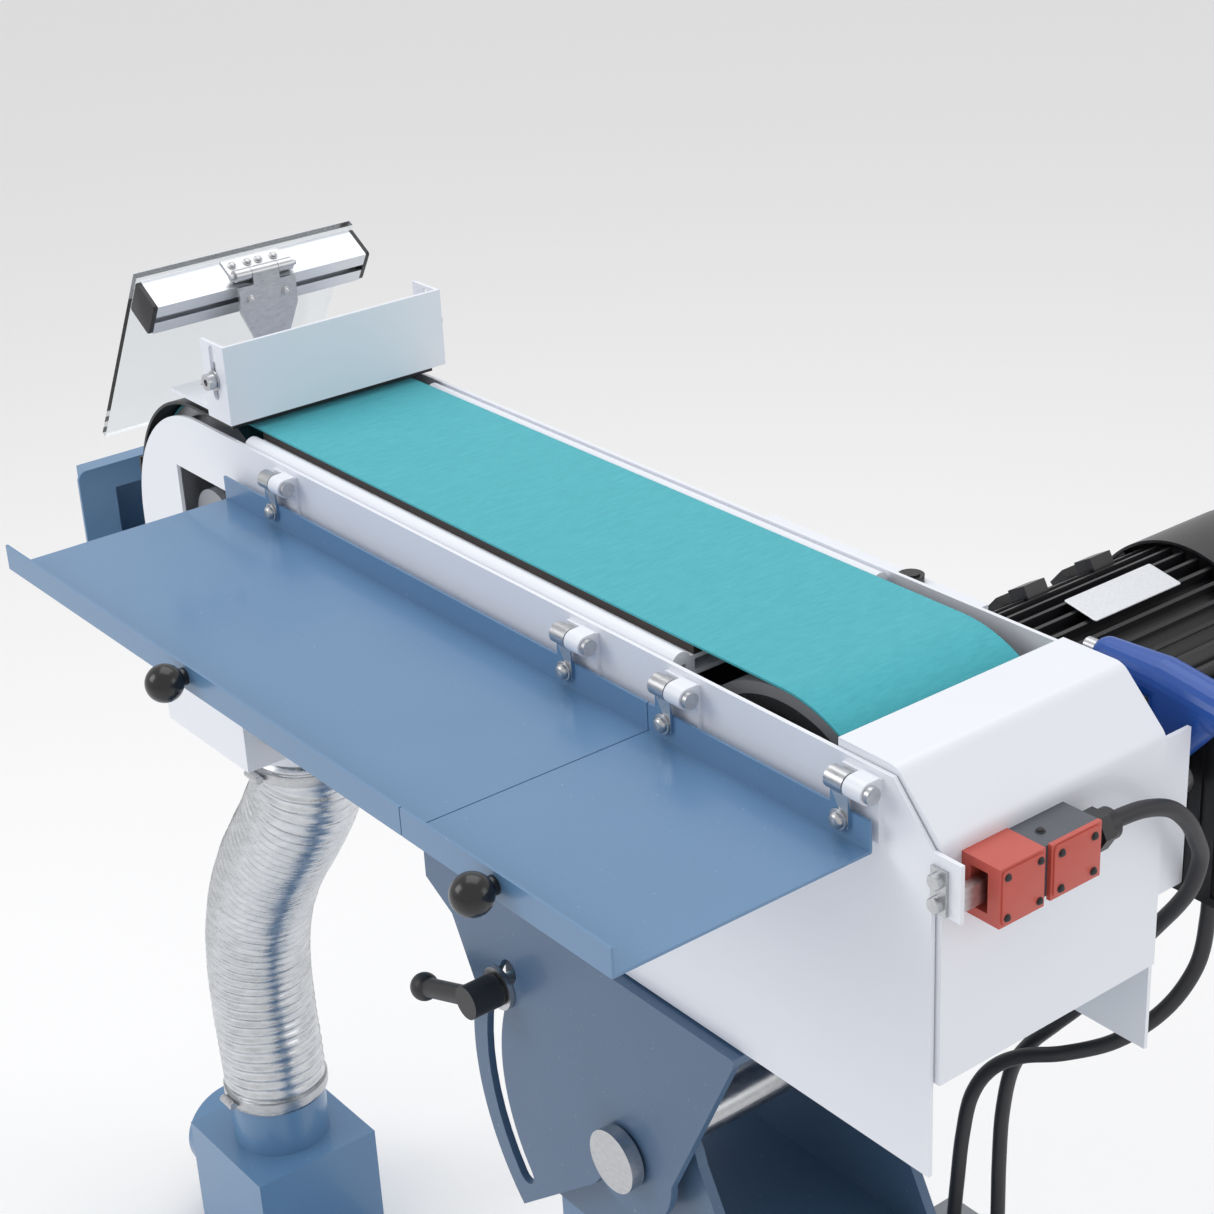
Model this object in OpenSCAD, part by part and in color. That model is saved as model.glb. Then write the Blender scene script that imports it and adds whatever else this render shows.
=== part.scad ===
// Industrial belt grinder with a tilting head on a pedestal.
// Millimetres, +Z up, X along the belt, Y across it.
// The origin is the centre of the base plate's underside.

/* [Belt] */
// Width of the abrasive belt
belt_w = 150; // [140:1:152]
// Length of the belt round the loop
belt_len = 2000; // [1990:1:2010]
// Thickness of the belt
belt_t = 1.5; // [1:0.1:2]
// Height of the belt's working face above the floor
belt_h = 1000; // [980:1:1060]

/* [Wheels] */
// Diameter of the rubber contact wheel
wheel_d = 200; // [198:1:201]
// Thickness of the rubber tyre
tyre_t = 8; // [6:0.5:12]
// Diameter of the idler drum
idler_d = 200; // [198:1:201]
// Diameter of the motor shaft
shaft_d = 28; // [24:1:32]
// Place of the contact wheel's axis in front of the pedestal's centre
wheel_x = 140; // [130:1:150]

/* [Housing] */
// Width over the two side plates
housing_w = 194; // [190:1:198]
// Thickness of the folded sheet
sheet_t = 3; // [2:0.5:3]
// How far the side plates stand below the belt face
rim_drop = 5; // [4:1:10]

/* [Trays] */
// Depth of the folding side trays
tray_d = 186; // [150:1:200]
// Height of the tray's rims
rim_h = 19; // [14:1:20]
// Diameter of the ball knobs
knob_d = 26; // [20:1:30]

/* [Motor] */
// Radius of the motor's fins
motor_r = 77; // [75:1:80]
// Radius of the fan cowl
cowl_r = 82; // [80:1:86]

/* [Pedestal] */
// Width of the base plate along X
base_x = 560; // [520:10:640]
// Depth of the base plate along Y
base_y = 500; // [460:10:560]
// Spacing of the floor bolts along X
bolt_x = 480; // [440:10:500]
// Spacing of the floor bolts along Y
bolt_y = 420; // [380:10:440]
// Diameter of the floor bolt holes
bolt_d = 14; // [12:1:16]

/* [Hidden] */
$fn = 64;

// Belt loop, seen from the side. The head's own zero is the belt face above the contact wheel.
run_gap = 0.3;
wheel_r = wheel_d / 2;
idler_r = idler_d / 2;
loop_r = wheel_r + run_gap;
axis_z = -belt_t - loop_r;
centre_dist = (belt_len - PI * (2 * loop_r + belt_t)) / 2;
belt_y = belt_w / 2;
house_y = housing_w / 2;
inner_y = house_y - sheet_t;

// Side door
door_l = -788;
door_r = 146;
door_b = -262;
door_t = -rim_drop;
door_arc = 115;
tab_r = 168;
chamfer_x = 115;
chamfer_z = -39;

// Trays
tray_l = -615;
tray_split = -91;
tray_r = 107;
tray_floor = -54;
tray_in = -house_y - 8;
tray_out = tray_in - tray_d;
pin_y = -house_y - 10.5;
pin_z = -15;
hinge_x = [-532, -165, -65, 92];
left_knob_x = -346;
right_knob_x = 3;

// Spark guard and eye shield
guard_x = -608;
guard_z = 9;
guard_h = 63;
screw_x = -623;
screw_z = 42;
profile_a = 30;
shield_pin = [-688.5, 96.3];
shield_tilt = 32;
shield_y0 = -112;
shield_y1 = 88;

// Tilt pivot of the head, relative to the pedestal
pivot_z = belt_h - 408;
slot_r = 157;
stud_a = 154;
stud_x = slot_r * cos(stud_a);
stud_z = pivot_z + slot_r * sin(stud_a);
cheek_y = 100;
cheek_t = 6;

// Hose and cable routes, in the pedestal's frame
hose_r = 50;
dust_x = -735;
hose_route = [[-590, 0, 644], [-590, 0, 637], [-590, 0, 628], [-603, 0, 590], [-638, 0, 540],
  [-684, 0, 480], [-718, 0, 420], [-736, 0, 360], [-740, 0, 300], [-737, 0, 250], [-735, 0, 210],
  [-735, 0, 192]];
cable_r = 5.5;
motor_route = [[257, 188, 808], [257, 188, 782], [254, 184, 745], [243, 168, 712], [222, 146, 686],
  [192, 128, 668], [160, 120, 652], [134, 118, 628], [116, 118, 595], [108, 118, 555], [104, 118, 515],
  [101, 118, 480], [100, 118, 461.3]];
inter_route = [[307, 19, 940], [307, 32, 940], [308, 54, 938], [309, 76, 930], [308, 94, 914],
  [304, 109, 894], [299, 121, 874], [292, 124, 850], [281, 126, 830], [266, 127, 808], [248, 128, 782],
  [226, 130, 748], [202, 132, 712], [176, 135, 680], [152, 138, 650], [134, 140, 618], [126, 140, 575],
  [124, 140, 530], [124, 140, 490], [124, 140, 461.3]];

white = [0.88, 0.89, 0.92];
blue = [0.30, 0.42, 0.55];
strong_blue = [0.07, 0.24, 0.55];
dark = [0.12, 0.12, 0.13];
steel = [0.72, 0.73, 0.75];
red = [0.72, 0.30, 0.25];

// Places children in the head's own frame
module at_head() { translate([wheel_x, 0, belt_h]) children(); }

// A plate of thickness t standing on the plane y, drawn in x and z
module side_sheet(y, t) {
  translate([0, y + t, 0]) rotate([90, 0, 0]) linear_extrude(t) children();
}

// A cylinder along Y from y0 to y1
module y_cyl(r, y0, y1) {
  translate([0, y1, 0]) rotate([90, 0, 0]) cylinder(r = r, h = y1 - y0);
}

// A cylinder along X from x0 to x1
module x_cyl(r, x0, x1) {
  translate([x0, 0, 0]) rotate([0, 90, 0]) cylinder(r = r, h = x1 - x0);
}

// A box given by its low and high corners
module span(a, b) { translate(a) cube(b - a); }

// A rectangle with rounded corners
module round_rect(w, h, r) {
  union() {
    translate([r, 0]) square([w - 2 * r, h]);
    translate([0, r]) square([w, h - 2 * r]);
    for (x = [r, w - r], y = [r, h - r]) translate([x, y]) circle(r);
  }
}

// The belt loop's outline at radius r
module loop(r) {
  union() {
    circle(r);
    translate([-centre_dist, 0]) circle(r);
    translate([-centre_dist, -r]) square([centre_dist, 2 * r]);
  }
}

// A tube swept along a list of points, with a ring at each
function unit(v) = v / norm(v);
function along(p, i) = unit(p[min(i + 1, len(p) - 1)] - p[max(i - 1, 0)]);
function side_of(d) = unit(cross(d, abs(d[1]) < 0.9 ? [0, 1, 0] : [1, 0, 0]));
module swept(p, r, n) {
  rings = [for (i = [0 : len(p) - 1]) let (d = along(p, i), s = side_of(d), u = cross(s, d))
    for (k = [0 : n - 1]) p[i] + r * (cos(360 * k / n) * s + sin(360 * k / n) * u)];
  walls = [for (i = [0 : len(p) - 2], k = [0 : n - 1]) let (a = i * n + k, b = i * n + (k + 1) % n)
    [a, b, b + n, a + n]];
  ends = [[for (k = [n - 1 : -1 : 0]) k], [for (k = [0 : n - 1]) (len(p) - 1) * n + k]];
  polyhedron(rings, concat(walls, ends));
}

// A point between control points on a smooth curve
function spline(a, b, c, d, t) = 0.5 * ((2 * b) + (c - a) * t + (2 * a - 5 * b + 4 * c - d) * t * t
  + (3 * b - a - 3 * c + d) * t * t * t);
function smooth(p, m) = [for (i = [0 : len(p) - 2], k = [0 : m - 1])
  spline(p[max(i - 1, 0)], p[i], p[i + 1], p[min(i + 2, len(p) - 1)], k / m), p[len(p) - 1]];

// ---------- Pedestal ----------
module base_plate() {
  color(blue) difference() {
    union() {
      translate([-base_x / 2, -base_y / 2, 0]) linear_extrude(10) round_rect(base_x, base_y, 20);
      span([dust_x - 72, -70, 0], [-base_x / 2 + 1, 70, 8]);
    }
    for (x = [-1, 1], y = [-1, 1])
      translate([x * bolt_x / 2, y * bolt_y / 2, -1]) cylinder(d = bolt_d, h = 12);
  }
}

column_x = 120;
column_y = 80;
column_top = 480;
module column() {
  color(blue) union() {
    difference() {
      span([-column_x, -column_y, 10], [column_x, column_y, column_top]);
      span([-column_x + 4, -column_y + 4, 9], [column_x - 4, column_y - 4, column_top - 8]);
    }
    for (s = [-1, 1]) {
      span([-column_x - 30, s * 50 - 4, 10], [-column_x, s * 50 + 4, 60]);
      span([column_x, s * 50 - 4, 10], [column_x + 30, s * 50 + 4, 60]);
    }
  }
}

yoke_y = 88;
module yoke() {
  color(blue) {
    span([-column_x, -yoke_y, column_top], [column_x, yoke_y, column_top + 8]);
    for (s = [-1, 1]) side_sheet(s > 0 ? yoke_y - 8 : -yoke_y, 8) difference() {
      union() {
        translate([0, pivot_z]) circle(60);
        polygon([[-column_x, column_top + 8], [column_x, column_top + 8], [55, pivot_z + 20],
          [stud_x + 10, stud_z + 20], [stud_x - 20, stud_z + 10], [stud_x - 20, stud_z - 20]]);
      }
      translate([0, pivot_z]) circle(15.05);
      translate([stud_x, stud_z]) circle(8.05);
    }
  }
}

module stand_bolts() {
  color(steel) for (x = [-100, 100], y = [-60, 60])
    translate([x, y, column_top + 8]) {
      translate([0, 0, 1]) cylinder(r = 9, h = 6, $fn = 6);
      cylinder(r = 11, h = 1.2);
    }
}

module pivot_bolt() {
  reach = cheek_y + cheek_t;
  color(steel) translate([0, 0, pivot_z]) {
    y_cyl(15, -reach - 3, reach + 3);
    for (s = [-1, 1]) translate([0, s * (reach + 8), 0]) y_cyl(24, -5.2, 5.2);
  }
}

module clamp_stud() {
  color(steel) translate([stud_x, 0, stud_z]) {
    y_cyl(8, -134, 84);
    y_cyl(14, 88.2, 96);
    y_cyl(7, 83, 89);
    translate([0, -cheek_y - cheek_t - 2.4, 0]) y_cyl(17, -2, 2);
  }
}

module clamp_lever() {
  color(dark) translate([stud_x, 0, stud_z]) difference() {
    union() {
      y_cyl(13, -138, -112);
      translate([0, -128, 0]) rotate([0, 160, 0]) x_cyl(7.5, 0, 76);
      translate([0, -128, 0]) rotate([0, 160, 0]) translate([76, 0, 0]) sphere(11);
    }
    y_cyl(8.05, -135, -100);
  }
}

gland_y = [118, 140];
gland_x = [100, 124];
module switch_box() {
  color([0.75, 0.76, 0.78]) difference() {
    union() {
      span([60, column_y, 330], [160, 158, 450]);
      for (i = [0, 1]) translate([gland_x[i], gland_y[i], 449]) cylinder(r = 9, h = 12);
    }
    span([64, column_y + 4, 334], [156, 154, 446]);
    translate([165, 120, 420]) rotate([0, -90, 0]) cylinder(r = 6.05, h = 12);
    translate([165, 120, 370]) rotate([0, -90, 0]) cylinder(r = 9.05, h = 12);
    for (i = [0, 1]) translate([gland_x[i], gland_y[i], 440]) cylinder(r = cable_r - 1, h = 30);
  }
}

module selector_knob() {
  color(dark) translate([0, 120, 420]) {
    x_cyl(6, 150, 161);
    x_cyl(17, 160.5, 168);
    span([166, -5, -17], [176, 5, 17]);
  }
}

module stop_button() {
  color([0.8, 0.1, 0.08]) translate([0, 120, 370]) {
    x_cyl(9, 148, 175);
    x_cyl(20, 172, 184);
  }
}

module dust_box() {
  color(blue) difference() {
    union() {
      span([dust_x - 70, -68, 8], [dust_x + 70, 68, 140]);
      translate([dust_x, 0, 140]) cylinder(r = hose_r - 1.2, h = 50);
      translate([0, 0, 74]) x_cyl(50, dust_x - 122, dust_x - 69);
    }
    span([dust_x - 67, -65, 11], [dust_x + 67, 65, 137]);
    translate([dust_x, 0, 130]) cylinder(r = hose_r - 3.2, h = 70);
    translate([0, 0, 74]) x_cyl(48, dust_x - 130, dust_x - 62);
  }
}

module dust_hose() {
  color([0.85, 0.86, 0.88]) swept(smooth(hose_route, 2), hose_r + 2, 12);
}

// ---------- Head ----------
module head_bracket() {
  top = -264;
  color(blue) {
    at_head() difference() {
      span([-372, -cheek_y - cheek_t, top - 6], [-20, cheek_y + cheek_t, top]);
      span([-300, -70, top - 8], [-90, 70, top + 2]);
    }
    for (s = [-1, 1]) side_sheet(s > 0 ? cheek_y : -cheek_y - cheek_t, cheek_t) difference() {
      union() {
        translate([0, pivot_z]) circle(50);
        translate([0, pivot_z]) intersection() {
          circle(slot_r + 26);
          polygon([[0, 0], [-400, 130], [-400, -340], [-40, -50]]);
        }
        polygon([[wheel_x - 372, belt_h + top - 6], [wheel_x - 20, belt_h + top - 6], [50, pivot_z],
          [-20, pivot_z - 30], [-slot_r - 20, pivot_z], [-slot_r - 16, pivot_z + 50],
          [wheel_x - 340, belt_h + top - 40], [wheel_x - 372, belt_h + top - 22]]);
      }
      translate([0, pivot_z]) circle(15.05);
      translate([0, pivot_z]) arc_slot(slot_r, stud_a - 8, stud_a + 62, 9);
    }
  }
}

// An arc-shaped slot of half width h between two angles
module arc_slot(r, a0, a1, h) {
  union() {
    for (a = [a0, a1]) rotate(a) translate([r, 0]) circle(h);
    difference() {
      polygon(concat([for (a = [a0 : (a1 - a0) / 12 : a1 + 0.1]) (r + h) / cos(3) * [cos(a), sin(a)]], [[0, 0]]));
      circle(r - h);
    }
  }
}

module far_plate() {
  color(white) at_head() {
    side_sheet(inner_y, sheet_t) difference() {
      union() {
        translate([door_l + door_arc, door_t - door_arc]) circle(door_arc);
        translate([door_l, door_b]) square([door_arc, door_t - door_arc - door_b]);
        translate([door_l + door_arc, door_b])
          square([door_r - door_l - door_arc, door_t - door_b]);
      }
      polygon([[chamfer_x - 5, door_t + 0.01], [door_r + 1, door_t + 1], [door_r + 1, chamfer_z - 8]]);
      translate([door_l, door_b - 60]) square([400, 60]);
      translate([0, axis_z]) circle(60);
      translate([-centre_dist - 40, axis_z - 20]) square([100, 40]);
      translate(lever_pivot) circle(12.05);
    }
    span([door_r - sheet_t, house_y, -150], [door_r, house_y + 24, chamfer_z - 2]);
  }
}

module main_beam() {
  color([0.35, 0.36, 0.38]) at_head() {
    difference() {
      span([-560, -70, -160], [-120, 70, -22]);
      span([-570, -62, -152], [-110, 62, -30]);
    }
    for (x = [-510, -340, -160]) span([x - 20, 70, -155], [x + 20, inner_y, -100]);
    for (x = [-340, -160]) span([x - 20, 80, -264], [x + 20, inner_y, -100]);
    span([-368, -60, -264], [-30, inner_y, -258]);
  }
}

module platen() {
  color(white) at_head() difference() {
    union() {
      span([-603, -92, -44], [-83, -77, -10]);
      translate([0, -84.5, -10.5]) x_cyl(7.5, -603, -83);
      span([-603, 77, -44], [-83, 92, -10]);
      translate([0, 84.5, -10.5]) x_cyl(7.5, -603, -83);
      span([-603, -78, -22], [-83, 78, -8]);
    }
    span([-604, -88, -45], [-82, -81, -12]);
    span([-604, 81, -45], [-82, 88, -12]);
    span([-604, -74, -19], [-82, 74, -11]);
  }
}

module graphite_pad() {
  color([0.16, 0.15, 0.15]) at_head() span([-603, -74.5, -8], [-83, 74.5, -belt_t - run_gap]);
}

module abrasive_belt() {
  color([0.30, 0.71, 0.76]) at_head() translate([0, 0, axis_z])
    side_sheet(-belt_y, belt_w) difference() {
      loop(loop_r + belt_t);
      loop(loop_r);
    }
}

hood_front = 67;
hood_back = 150;
hood_bend = 14;
hood_slope = 36;

// The hood's outline with both bends, moved inwards by t
module hood_outline(t) {
  a = [hood_back - hood_slope - 0.4142 * hood_bend, -hood_bend];
  b = [hood_back - hood_bend, -hood_slope - 0.4142 * hood_bend];
  r = hood_bend - t;
  d = r * sqrt(0.5);
  union() {
    polygon([[hood_front - 9, -t], [a[0], -t], [a[0] + d, a[1] + d], [b[0] + d, b[1] + d],
      [hood_back - t, b[1]], [hood_back - t, -196 - 5 * t], [hood_front - 9, -196 - 5 * t]]);
    translate(a) circle(r);
    translate(b) circle(r);
  }
}

module rear_hood() {
  color(white) at_head() {
    side_sheet(-inner_y + 1, 2 * inner_y - 1) difference() {
      intersection() {
        hood_outline(0);
        translate([hood_front, -196]) square(196);
      }
      hood_outline(sheet_t);
    }
    side_sheet(-inner_y + 1, 2) intersection() {
      hood_outline(1);
      translate([hood_front, -196]) square(196);
    }
    for (y = [-inner_y + 1, inner_y - 2])
      span([hood_back - 20, y, -192], [hood_back - sheet_t + 1, y + 2, -150]);
  }
}

cover_in = 103.6;
cover_t = 2.4;
cover_l = -centre_dist - cover_in - cover_t;
door_axis = [-794, -101];
knuckle_z = [-175, -250];
module end_cover() {
  color(dark) at_head() {
    side_sheet(-inner_y + 1, 2 * inner_y - 1) difference() {
      union() {
        translate([-centre_dist, axis_z]) circle(cover_in + cover_t);
        translate([-centre_dist, axis_z]) square([66, cover_in + cover_t]);
      }
      translate([-centre_dist, axis_z]) circle(cover_in);
      translate([-centre_dist - 1, axis_z - 200]) square([200, cover_in + 200]);
      translate([-centre_dist - 200, axis_z - 200]) square([400, 125]);
    }
    for (s = [-1, 1]) translate([0, s * 76.5, 0])
      span([cover_l - 2.5, -16.5, -255], [cover_l + 0.5, 16.5, -70]);
    difference() {
      for (z = [knuckle_z[0] + 15.3, knuckle_z[1]]) union() {
        translate([door_axis[0], door_axis[1], z]) cylinder(r = 5, h = 14.7);
        span([door_axis[0] - 2, door_axis[1], z], [cover_l + 0.5, -inner_y + 2, z + 14.7]);
      }
      translate([door_axis[0], door_axis[1], -300]) cylinder(r = 2.5, h = 250);
    }
  }
}

module door_pins() {
  color(steel) at_head() for (z = knuckle_z) translate([door_axis[0], door_axis[1], z - 1])
    cylinder(r = 2.5, h = 32);
}

chute_b = -318;
module dust_chute() {
  x0 = -794;
  x1 = -657;
  color(white) at_head() difference() {
    union() {
      span([x0, -house_y, chute_b], [x1, house_y, -266]);
      translate([-730, 0, -352]) cylinder(r = hose_r - 1.2, h = 36);
    }
    span([x0 + 3, -inner_y, chute_b + 3], [x1 - 3, inner_y, -260]);
    translate([-730, 0, -360]) cylinder(r = hose_r - 3.2, h = 60);
  }
  color(white) at_head() span([x0 + 10, inner_y - 8, -270], [x1 - 10, inner_y, -240]);
}

module spark_box() {
  color(blue) at_head() difference() {
    union() {
      translate([-908, 0, 0]) rotate([90, 0, 90]) linear_extrude(3) translate([-100, -225])
        round_rect(200, 109, 9);
      span([-965, -74, -211], [-906, 74, -133]);
    }
    span([-962, -71, -208], [-910, 71, -136]);
    span([-911, -66, -205], [-900, 66, -139]);
  }
  color(blue) at_head() for (s = [-1, 1]) translate([0, s * 84, 0]) {
    span([-906, -8, -219], [cover_l - 2.5, 8, -216]);
    span([cover_l - 5.5, -8, -245], [cover_l - 2.5, 8, -216]);
  }
}

// ---------- Motor ----------
module motor_body() {
  flange = house_y + 12;
  color(dark) at_head() translate([0, 0, axis_z]) difference() {
    union() {
      y_cyl(motor_r - 1, house_y, flange);
      side_sheet(flange - 1, 182) {
        circle(68);
        for (a = [0 : 9 : 351]) rotate(a) translate([60, -1.3]) square([motor_r - 60, 2.6]);
      }
      for (a = [120, 140, 220, 240], y = [180, 245])
        rotate([0, -a, 0]) span([64, y - 10, -8], [motor_r + 8, y + 10, 8]);
    }
    y_cyl(60, flange, flange + 182);
    y_cyl(shaft_d / 2 + 3, house_y - 1, flange + 1);
    y_cyl(26, house_y - 1, house_y + 9);
  }
}

module motor_bearings() {
  color(steel) at_head() translate([0, 0, axis_z]) difference() {
    union() {
      y_cyl(26, house_y + 1, house_y + 9);
      y_cyl(60, 284, 290);
      y_cyl(20, 276, 284);
    }
    y_cyl(shaft_d / 2 + 0.05, house_y, 292);
  }
}

module fan_cowl() {
  y0 = 288;
  y1 = 384;
  color(dark) at_head() translate([0, 0, axis_z]) difference() {
    rotate([-90, 0, 0]) rotate_extrude($fn = 96) union() {
      translate([cowl_r - 2, y0]) square([2, y1 - y0 - 14]);
      intersection() {
        translate([cowl_r - 16, y1 - 16]) difference() { circle(16); circle(14); }
        translate([cowl_r - 16, y1 - 16]) square(16);
      }
      translate([0, y1 - 2]) square([cowl_r - 16, 2]);
    }
    for (a = [0 : 30 : 330]) rotate([0, a, 0]) {
      translate([35, 0, 0]) y_cyl(5, y1 - 10, y1 + 5);
      translate([50, 0, 0]) y_cyl(6, y1 - 10, y1 + 5);
    }
  }
  color(dark) at_head() translate([0, 0, axis_z])
    for (a = [45, 135, 225, 315]) rotate([0, a, 0]) span([70, y0 + 2.1, -5], [cowl_r - 1, y0 + 10, 5]);
}

module terminal_box() {
  color(dark) at_head() {
    difference() {
      span([86, 158, -186], [150, 224, -66]);
      for (x = [92 : 12 : 140]) span([x, 156, -180], [x + 4, 159.5, -72]);
    }
    span([motor_r + 0.2, 170, -130], [87, 220, -80]);
    for (y = [188, 211]) translate([117, y, -196]) difference() {
      cylinder(r = 10, h = 11);
      translate([0, 0, -1]) cylinder(r = cable_r + 0.2, h = 9);
    }
  }
}

module motor_shaft() {
  color(steel) at_head() translate([0, 0, axis_z]) {
    y_cyl(shaft_d / 2, -62, 345);
    y_cyl(46, 132, 268);
  }
}

module motor_fan() {
  color([0.2, 0.2, 0.22]) at_head() translate([0, 0, axis_z]) difference() {
    union() {
      y_cyl(24, 305, 345);
      y_cyl(72, 305, 309);
      for (a = [0 : 45 : 315]) rotate([0, a, 0]) span([20, 307, -1.5], [70, 340, 1.5]);
    }
    y_cyl(shaft_d / 2 + 0.02, 300, 350);
  }
}

module wheel_hub() {
  rim = wheel_r - tyre_t;
  color(dark) at_head() translate([0, 0, axis_z]) difference() {
    union() {
      difference() {
        y_cyl(rim, -belt_y, belt_y);
        y_cyl(rim - 8, -belt_y - 1, belt_y + 1);
      }
      y_cyl(rim - 4, -belt_y + 5, -belt_y + 17);
      y_cyl(34, -belt_y + 10, belt_y);
    }
    y_cyl(shaft_d / 2 + 0.02, -belt_y - 1, belt_y + 1);
  }
}

module wheel_tyre() {
  color([0.5, 0.5, 0.52]) at_head() translate([0, 0, axis_z]) difference() {
    y_cyl(wheel_r, -belt_y, belt_y);
    y_cyl(wheel_r - tyre_t, -belt_y - 1, belt_y + 1);
  }
}

// ---------- Idler and belt tension ----------
axle_r = 12.5;
module idler_drum() {
  color([0.72, 0.72, 0.72]) at_head() translate([-centre_dist, 0, axis_z]) difference() {
    y_cyl(idler_r, -belt_y, belt_y);
    for (s = [-1, 1]) translate([0, s * 50, 0]) y_cyl(idler_r - 10, -30, 30);
    y_cyl(26, -belt_y, belt_y);
  }
  color([0.72, 0.72, 0.72]) at_head() translate([-centre_dist, 0, axis_z]) difference() {
    union() {
      y_cyl(34, -70, 70);
      for (s = [-1, 1]) translate([0, s * 60, 0]) y_cyl(idler_r - 9, -4, 4);
    }
    y_cyl(26, -80, 80);
  }
}

module idler_bearings() {
  color(steel) at_head() translate([-centre_dist, 0, axis_z])
    for (s = [-1, 1]) translate([0, s * 58, 0]) difference() {
      y_cyl(26, -7.5, 7.5);
      y_cyl(axle_r + 0.04, -10, 10);
    }
}

module idler_carriage() {
  color([0.3, 0.3, 0.32]) at_head() translate([-centre_dist, 0, axis_z]) {
    y_cyl(axle_r, -80, house_y + 16);
    difference() {
      y_cyl(30, -84, -77);
      y_cyl(6, -90, -80);
    }
    span([-34, house_y + 0.5, -17], [44, house_y + 14, 17]);
    span([-30, 80, -16], [40, house_y + 1, 16]);
  }
}

lever_pivot = [118, -96];
crank_r = 18;
rod_y = 81;
rod_z = lever_pivot[1] + crank_r;
module tension_rod() {
  color(steel) at_head() {
    translate([0, rod_y, rod_z]) x_cyl(5, -655, 110);
    span([-centre_dist + 28, rod_y - 4, axis_z + 16], [-centre_dist + 40, rod_y + 5, rod_z + 5]);
    difference() {
      span([108, rod_y - 5, rod_z - 13], [129, rod_y + 5, rod_z + 9]);
      span([114, rod_y - 6, rod_z - 9], [122, rod_y + 6, rod_z + 5]);
    }
  }
}

module tracking_bracket() {
  color(white) at_head() {
    difference() {
      span([-225, house_y, -25], [-17, house_y + 20, -14]);
      span([-222, house_y - 1, -26], [-20, house_y + 17, -17]);
      translate([-77, house_y + 10, -20]) cylinder(r = 3.05, h = 10);
    }
  }
}

module tracking_knob() {
  color(dark) at_head() translate([-77, house_y + 10, 0]) {
    translate([0, 0, -20]) cylinder(r = 3, h = 8);
    translate([0, 0, -13.7]) cylinder(r = 9, h = 4.7);
    translate([0, 0, -9.1]) cylinder(r = 6, h = 1.4);
  }
}

grip_y = house_y + 42;
module tension_lever() {
  color(steel) at_head() {
    translate([lever_pivot[0], 0, lever_pivot[1]]) {
      y_cyl(12, 87, grip_y + 8);
      y_cyl(18, house_y + 0.6, house_y + 8);
      span([-9, 87, -12], [9, 93.4, crank_r + 8]);
    }
    translate([118, 0, rod_z]) y_cyl(3.5, rod_y - 6, 90);
    span([112, grip_y - 4, -90], [124, grip_y + 4, -30]);
    translate([0, grip_y, -27]) x_cyl(5.5, 48, 120);
  }
}

module lever_grip() {
  color(strong_blue) at_head() difference() {
    union() {
      hull() {
        translate([66, grip_y, -27]) sphere(11, $fn = 24);
        translate([110, grip_y, -29]) sphere(15, $fn = 24);
      }
      hull() {
        translate([110, grip_y, -29]) sphere(15, $fn = 24);
        translate([168, grip_y, -37]) sphere(15, $fn = 24);
      }
      hull() {
        translate([116, grip_y, -32]) sphere(15, $fn = 24);
        translate([144, grip_y, -36]) sphere(15, $fn = 24);
        translate([120, grip_y, -66]) sphere(14, $fn = 24);
      }
    }
    span([111.9, grip_y - 4.1, -95], [124.1, grip_y + 4.1, -29.9]);
    translate([0, grip_y, -27]) x_cyl(5.6, 40, 120.1);
  }
}

// ---------- Interlock switch ----------
module switch_body() {
  color([0.24, 0.25, 0.28]) at_head() span([hood_back, -42, -78], [hood_back + 27, 4, -45]);
}

module switch_head() {
  color(red) at_head() {
    difference() {
      span([hood_back, -78, -82], [hood_back + 29, -42, -44]);
      span([hood_back + 7, -79, -76], [hood_back + 20, -58, -50]);
    }
    span([hood_back + 27, -38, -80], [hood_back + 30, 3, -44]);
  }
}

module cable_gland() {
  color(dark) at_head() translate([hood_back + 17, 0, -60]) {
    difference() {
      union() {
        y_cyl(10, 4, 9);
        rotate([90, 0, 0]) translate([0, 0, -17]) cylinder(r = 13, h = 9, $fn = 6);
        y_cyl(10, 16, 25);
      }
      y_cyl(cable_r + 0.2, 18, 50);
    }
  }
}

module interlock_cable() {
  color(dark) swept(smooth(inter_route, 2), cable_r, 8);
}

module motor_cable() {
  color(dark) swept(smooth(motor_route, 2), cable_r, 8);
}

// ---------- Door and trays ----------
bolt_z = [-53, -68];
module side_door() {
  color(white) at_head() {
    side_sheet(-house_y, sheet_t) difference() {
      union() {
        translate([door_l + door_arc, door_t - door_arc]) circle(door_arc, $fn = 128);
        translate([door_l, door_b]) square([door_arc, door_t - door_arc - door_b]);
        translate([door_l + door_arc, door_b])
          square([door_r - door_l - door_arc, door_t - door_b]);
        translate([door_r - 5, -76]) square([tab_r - door_r + 5, 76 + chamfer_z]);
      }
      polygon([[chamfer_x, door_t + 0.01], [tab_r + 1, door_t + 1], [tab_r + 1, chamfer_z],
        [door_r, chamfer_z]]);
      translate([-714, -232]) square([160, 178]);
      translate([door_l, door_b - 60]) square([400, 60]);
      for (z = bolt_z) translate([153, z]) circle(2.56);
    }
    for (x = [-520, -300, -20]) span([x, -inner_y, -250], [x + 3, -inner_y + 8, -60]);
    difference() {
      for (z = [knuckle_z[0], knuckle_z[1] + 15.3]) union() {
        translate([door_axis[0], door_axis[1], z]) cylinder(r = 5, h = 14.7);
        span([door_axis[0], door_axis[1] - 1, z], [door_l + 4, -house_y, z + 14.7]);
      }
      translate([door_axis[0], door_axis[1], -300]) cylinder(r = 2.55, h = 250);
    }
  }
}

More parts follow.
